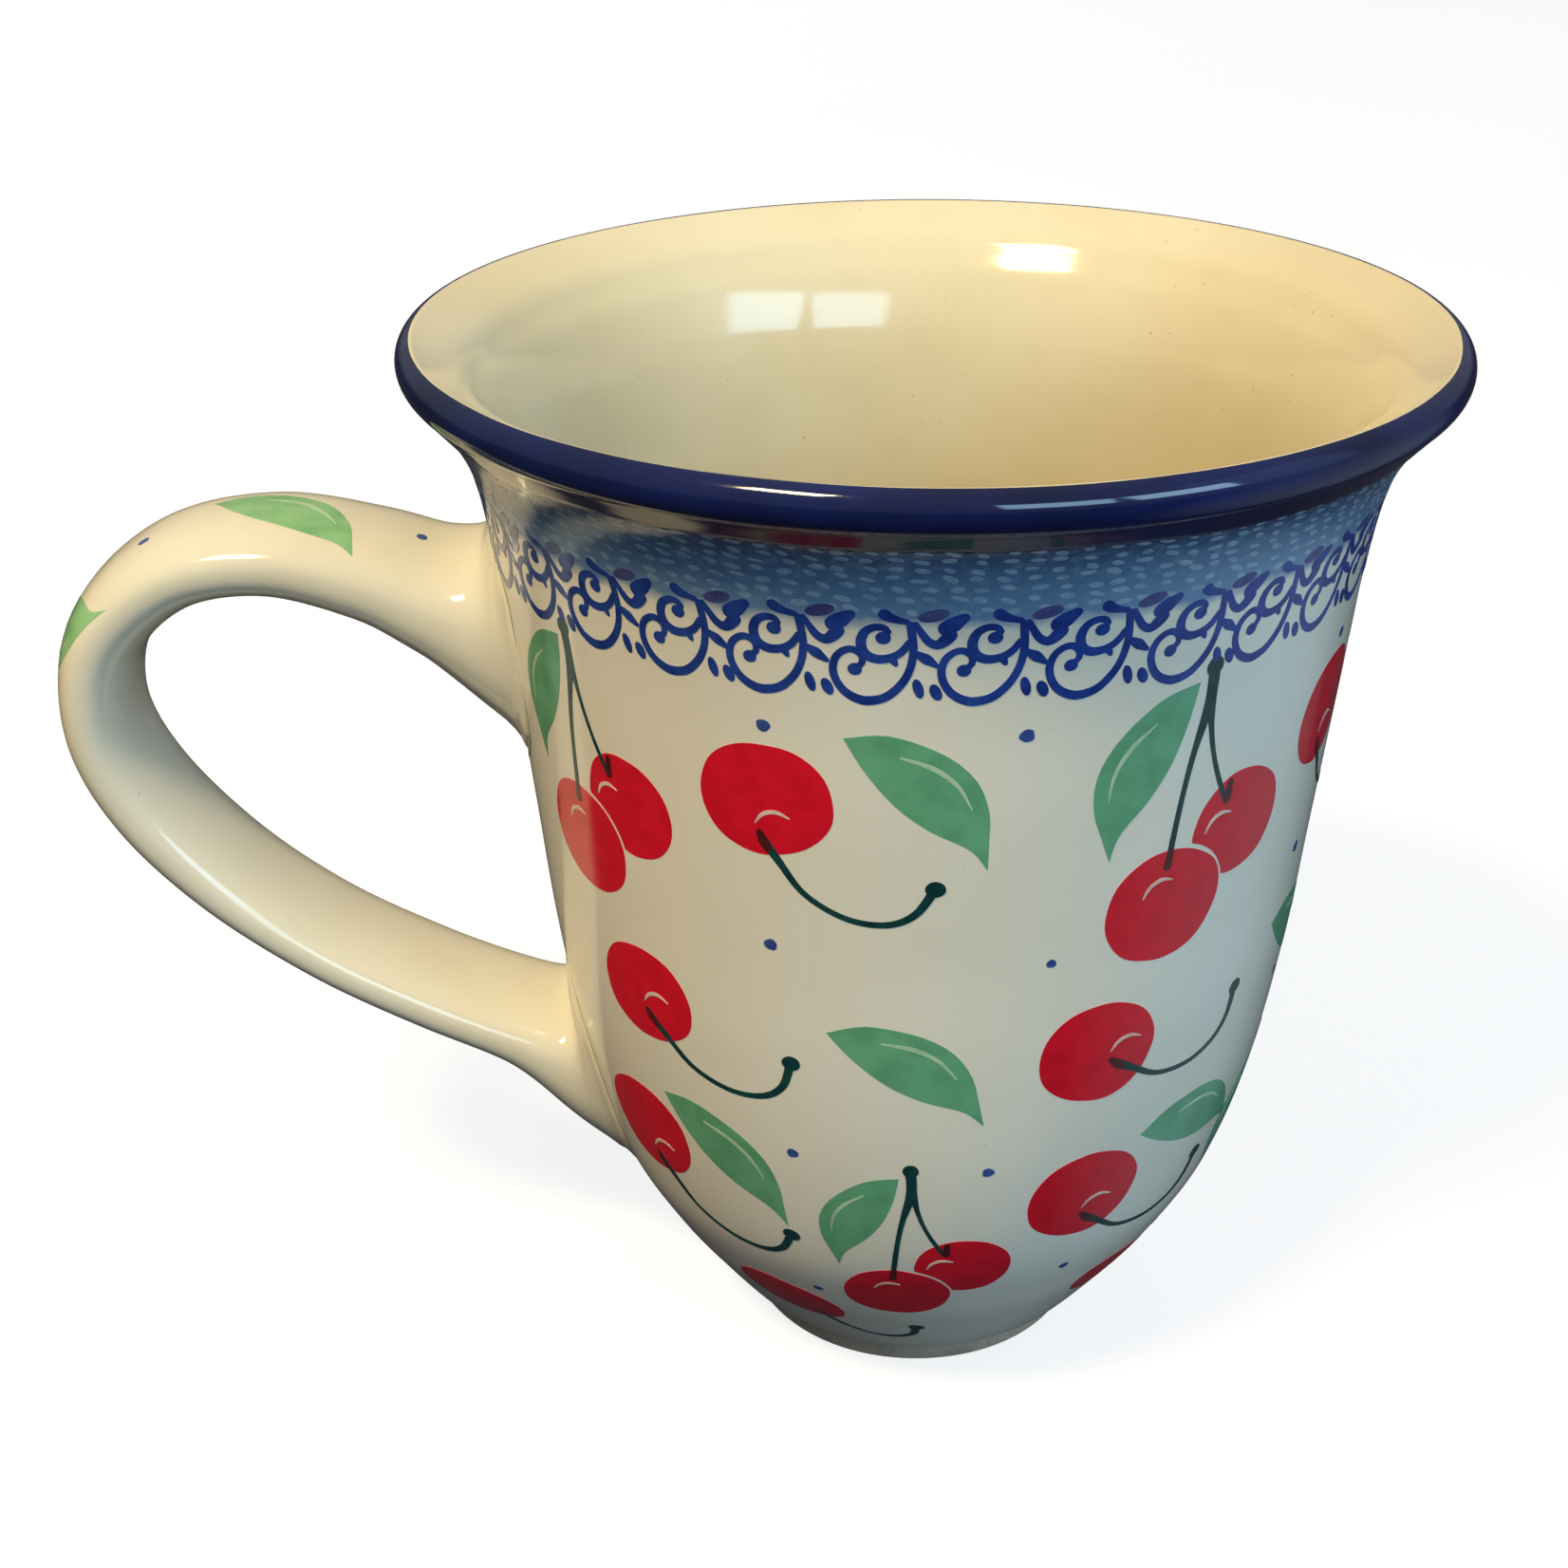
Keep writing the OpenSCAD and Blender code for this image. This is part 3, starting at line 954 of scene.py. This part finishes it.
# One repeat of the border of scrolls. Its origin is the foot of the upright stroke.
SCROLL_STROKES = [
    ([(-5.0, 3.2), (-4.35, 3.7), (-4.35, 4.5), (-5.0, 5.05), (-5.8, 4.95), (-6.55, 4.25),
      (-6.85, 3.1), (-6.6, 1.9), (-5.9, 0.85), (-4.9, 0.2), (-3.8, 0.0), (-2.3, 0.45),
      (-1.0, 1.75), (-0.25, 3.3), (0.05, 5.1), (-0.05, 6.6), (-0.2, 8.1)],
     [0.5, 0.6, 0.62, 0.66, 0.8, 0.7, 0.62, 0.62, 0.7]),
    ([(-2.45, 6.5), (-2.1, 6.95), (-2.5, 7.4), (-3.3, 7.4), (-4.05, 6.9), (-4.4, 5.9),
      (-4.15, 4.85), (-3.3, 4.25), (-2.1, 4.3), (-1.0, 4.95), (-0.15, 6.2)],
     [0.55, 0.66, 0.8, 0.78, 0.66, 0.55]),
    ([(-0.2, 8.0), (-1.1, 8.2), (-2.05, 8.55), (-2.75, 9.2)], [0.5, 0.6, 0.9, 1.05]),
    ([(-1.8, 4.4), (-1.35, 3.55)], [0.9, 0.25]),
    ([(0.1, 8.1), (0.7, 7.0), (1.3, 6.1), (2.05, 5.75), (2.8, 6.3), (3.45, 7.25)],
     [0.45, 0.6, 0.7, 1.0, 1.2]),
    ([(2.2, 7.0), (3.3, 7.75), (4.7, 8.8)], [1.3, 1.35, 0.6]),
    ([(0.05, 5.0), (1.0, 4.4), (2.2, 3.5)], [0.4, 0.95, 0.3]),
]
SCROLL_BLOBS = [
    (0.62, 0.6, (-4.95, 3.1), 0), (0.66, 0.62, (-2.5, 6.35), 0),
    (0.45, 0.98, (0.45, 1.35), 14), (0.5, 0.85, (1.95, 1.0), 22),
]
SCROLL_PETAL = (1.35, 0.62, (1.75, 8.75), 16)
SCROLL_REPEATS = 30
SCROLL_BRUSH = 1.13
SCROLL_FIRST, SCROLL_FOOT = 264.9, 93.45
SCROLL_CLEAR_OF_ROOT = 7


def paint_scrolls():
    """The border of scrolls, stamped all round but for the handle's upper root."""
    for i in range(SCROLL_REPEATS):
        azimuth = SCROLL_FIRST + i * 360 / SCROLL_REPEATS
        if away_from_root(azimuth % 360) < SCROLL_CLEAR_OF_ROOT:
            continue
        lay = on_mug(azimuth + hand.uniform(-0.15, 0.15), SCROLL_FOOT + hand.uniform(-0.12, 0.12),
                     hand.uniform(-0.7, 0.7))
        for knots, widths in SCROLL_STROKES:
            SCROLLS.film(stroke(knots, [SCROLL_BRUSH * w for w in widths], 0.32), lay)
        for half_w, half_h, at, tilt in SCROLL_BLOBS:
            SCROLLS.film(patch(ellipse(half_w, half_h, at, tilt, sides=18), 2), lay)
        half_w, half_h, at, tilt = SCROLL_PETAL
        PETALS.film(patch(ellipse(half_w, half_h, at, tilt, sides=22), 3), lay)


def paint_dabs():
    """Rows of pale dabs that the sponge leaves in the blue under the lip."""
    rows, first_height, row_climb, spacing = 7, 102.5, 1.2, 2.3
    climb = np.interp(first_height, WALL[:, 1], WALL_CLIMB)
    for row in range(rows):
        height = float(np.interp(climb + row * row_climb, WALL_CLIMB, WALL[:, 1]))
        count = round(2 * math.pi * float(wall_radius(height)) / spacing)
        for i in range(count):
            azimuth = (i + 0.5 * (row % 2) + hand.uniform(-0.18, 0.18)) * 360 / count
            lay = on_mug(azimuth, height + hand.uniform(-0.22, 0.22), hand.uniform(-28, 6))
            outline = ellipse(hand.uniform(0.50, 0.84), hand.uniform(0.23, 0.36), sides=12)
            DABS.film(patch(outline, 1), lay)


def root_edge(upper):
    """Places where a root of the handle meets the wall, all round it, as azimuths and heights."""
    line_away = 0.85
    edge = []
    for angle in np.linspace(4, 356, 33):
        for knot in np.linspace(0.8, 3, 111):
            at = knot if upper else LAST_KNOT - knot
            centre = ring_frame(at)[0]
            middle = np.array([-centre[0], 0, centre[1]])
            point = softened(strap_ring(at, np.array([angle])), middle)[0]
            azimuth = math.degrees(math.atan2(point[1], point[0])) % 360
            if math.hypot(point[0], point[1]) > wall_radius(point[2]) + uneven(azimuth, point[2]):
                break
        away = (point - middle) / np.linalg.norm(point - middle)
        point = point + line_away * away
        edge.append((math.degrees(math.atan2(point[1], point[0])) % 360, point[2]))
    return edge


def paint_root_lines():
    """A thin green line brushed on the wall round each root of the handle."""
    for upper in (True, False):
        ROOT_LINES.film(place_stroke(root_edge(upper), 0.5), at_places)


def place_stroke(knots, width):
    """A stroke along azimuths and heights, with its width in millimetres."""
    radius = float(np.mean([wall_radius(z) for _, z in knots]))
    scale = np.array([math.pi / 180 * radius, 1.0])
    flat, faces, border = stroke([tuple(np.array(k) * scale) for k in knots], [width] * 2, 1.2)
    return flat / scale, faces, border


def paint_handle():
    """Two leaves and a few dots on the strap. The first leaf lies by the upper root."""
    leaf_size = 0.92
    for knot, angle, turn, flip in ((4.5, 171, 145, False), (6.25, 153, 116, True)):
        paint_leaf(offset_lay(on_strap(knot, angle), (0, 0), turn, flip, leaf_size), HANDLE_LEAVES)
    for knot, angle in ((2.5, 188), (5.05, 196), (7.6, 150), (9.5, 170)):
        DOTS.film(patch(ellipse(0.55, 0.55, sides=14), 2), on_strap(knot, angle))


def paint_all():
    paint_upper_row()
    paint_middle_row()
    paint_lower_row()
    paint_scrolls()
    paint_dabs()
    paint_root_lines()
    paint_handle()
    for paint in (CHERRIES, LEAVES, HANDLE_LEAVES, VEINS, STEMS, STEM_FEET, LIGHTS, DOTS,
                  SCROLLS, PETALS, DABS, ROOT_LINES):
        paint.make()


# ------------------------------------------------------------
# Studio
# ------------------------------------------------------------
# The camera's place as shares of the mug's height, its direction, its roll and its lens.
CAMERA_PLACE = Vector((-0.1343, -1.9208, 1.5250)) * MUG_H * MM
CAMERA_AHEAD = Vector((0.0027, 0.8924, -0.4513)).normalized()
CAMERA_ROLL = math.radians(-0.56)
CAMERA_LENS = 52.55
# The colours of the light that comes from all round.
WORLD_BELOW, WORLD_SIDE = (0.035, 0.035, 0.04), (0.20, 0.21, 0.225)
WORLD_ABOVE = (0.34, 0.35, 0.37)
# The patch of bright table on the right, and its direction seen from the mug.
TABLE_GLOW, TABLE_GLOW_AZIMUTH, TABLE_GLOW_ELEVATION = (0.34, 0.40, 0.44), 0, -24
# The radius of the floor and of the backdrop, in metres.
ROOM = 6.0


def direction(azimuth, elevation):
    """The direction from the mug towards an azimuth and a height above the horizon, in degrees."""
    a, e = math.radians(azimuth), math.radians(elevation)
    return Vector((math.cos(a) * math.cos(e), math.sin(a) * math.cos(e), math.sin(e)))


def build_camera():
    """The camera stands in front of the mug, above its lip."""
    data = bpy.data.cameras.new("camera")
    data.sensor_width = 36
    data.lens = CAMERA_LENS
    data.clip_start = 0.01
    camera = bpy.data.objects.new("camera", data)
    bpy.context.scene.collection.objects.link(camera)
    camera.matrix_world = (Matrix.Translation(CAMERA_PLACE)
                           @ CAMERA_AHEAD.to_track_quat("-Z", "Y").to_matrix().to_4x4()
                           @ Matrix.Rotation(CAMERA_ROLL, 4, "Z"))
    bpy.context.scene.camera = camera


def add_light(name, azimuth, elevation, distance, size, power, colour, tall=None):
    """A soft panel that faces the middle of the mug from a distance in metres."""
    data = bpy.data.lights.new(name, "AREA")
    data.shape = "RECTANGLE"
    data.size = size
    data.size_y = tall or size
    data.energy = power
    data.color = colour
    light = bpy.data.objects.new(name, data)
    away = direction(azimuth, elevation)
    light.location = Vector((0, 0, 0.6 * MUG_H * MM)) + away * distance
    light.rotation_mode = "QUATERNION"
    light.rotation_quaternion = (-away).to_track_quat("-Z", "Y")
    bpy.context.scene.collection.objects.link(light)
    return light


def build_world():
    """Soft light from all round: pale above, dim below the table's level, but for a patch of
    bright table on the right."""
    world = bpy.data.worlds.new("studio")
    world.use_nodes = True
    nodes = Nodes(world.node_tree, "Generated")
    around = nodes.ramp(nodes.spread(nodes.height(), -1, 1),
                        [(0.0, WORLD_BELOW), (0.46, WORLD_BELOW), (0.54, WORLD_SIDE),
                         (1.0, WORLD_ABOVE)])
    nearness = nodes.tree.nodes.new("ShaderNodeVectorMath")
    nearness.operation = "DOT_PRODUCT"
    nodes.link(nodes.place, nearness.inputs[0])
    nearness.inputs[1].default_value = direction(TABLE_GLOW_AZIMUTH, TABLE_GLOW_ELEVATION)
    glow = nodes.spread(nearness.outputs["Value"], 0.76, 0.96)
    lit = nodes.mix(glow, around, TABLE_GLOW)
    nodes.link(lit, nodes.tree.nodes["Background"].inputs["Color"])
    return world


def pale_card(name, glow):
    """Pale card that glows a little, so that it comes out nearly white with soft shadows."""
    shader = Shader(name, 0.6, specular=0.2)
    shader.colour(shader.ramp(shader.noise(3, 2), [(0.3, (0.25, 0.25, 0.25)),
                                                   (0.7, (0.27, 0.27, 0.27))]))
    shader.principled.inputs["Emission Color"].default_value = (1, 1, 1, 1)
    shader.principled.inputs["Emission Strength"].default_value = glow
    return shader.material


def build_lights():
    """A warm lamp high on the left, a window of two panes on the right, and weaker fills."""
    warm, cool = (1.0, 0.80, 0.45), (0.46, 0.76, 1.0)
    add_light("warm_lamp", 229, 55, 1.0, 0.24, 9.5, warm, 0.14)
    add_light("window_left_pane", 292, 25, 1.1, 0.40, 3.0, cool, 0.30)
    add_light("window_right_pane", 318.5, 25, 1.1, 0.40, 3.3, cool, 0.30)
    add_light("cool_side", 345, 30, 1.2, 0.7, 0.5, cool)
    add_light("ceiling", 90, 84, 1.3, 1.0, 0.25, (1.0, 0.97, 0.90))
    back_fill = add_light("back_fill", 112, 14, 1.3, 0.9, 4.0, (1.0, 0.95, 0.88))
    back_fill.visible_glossy = False


def build_room():
    """The pale floor and backdrop. They don't light the mug and don't show in its glaze."""
    bpy.ops.mesh.primitive_circle_add(vertices=96, radius=ROOM, fill_type="NGON")
    floor = bpy.context.object
    floor.name = "floor"
    bpy.ops.mesh.primitive_uv_sphere_add(segments=48, ring_count=24, radius=ROOM)
    backdrop = bpy.context.object
    backdrop.name = "backdrop"
    for thing, glow in ((floor, 0.80), (backdrop, 0.86)):
        thing.data.materials.append(pale_card(thing.name + "_card", glow))
        thing.visible_glossy = False
        thing.visible_diffuse = False
    backdrop.visible_shadow = False


build_cup()
build_foot_ring()
build_glazes()
build_rim_band()
build_sponge_band()
build_handle()
paint_all()
build_camera()
bpy.context.scene.view_settings.view_transform = "Standard"
bpy.context.scene.world = build_world()
build_lights()
build_room()
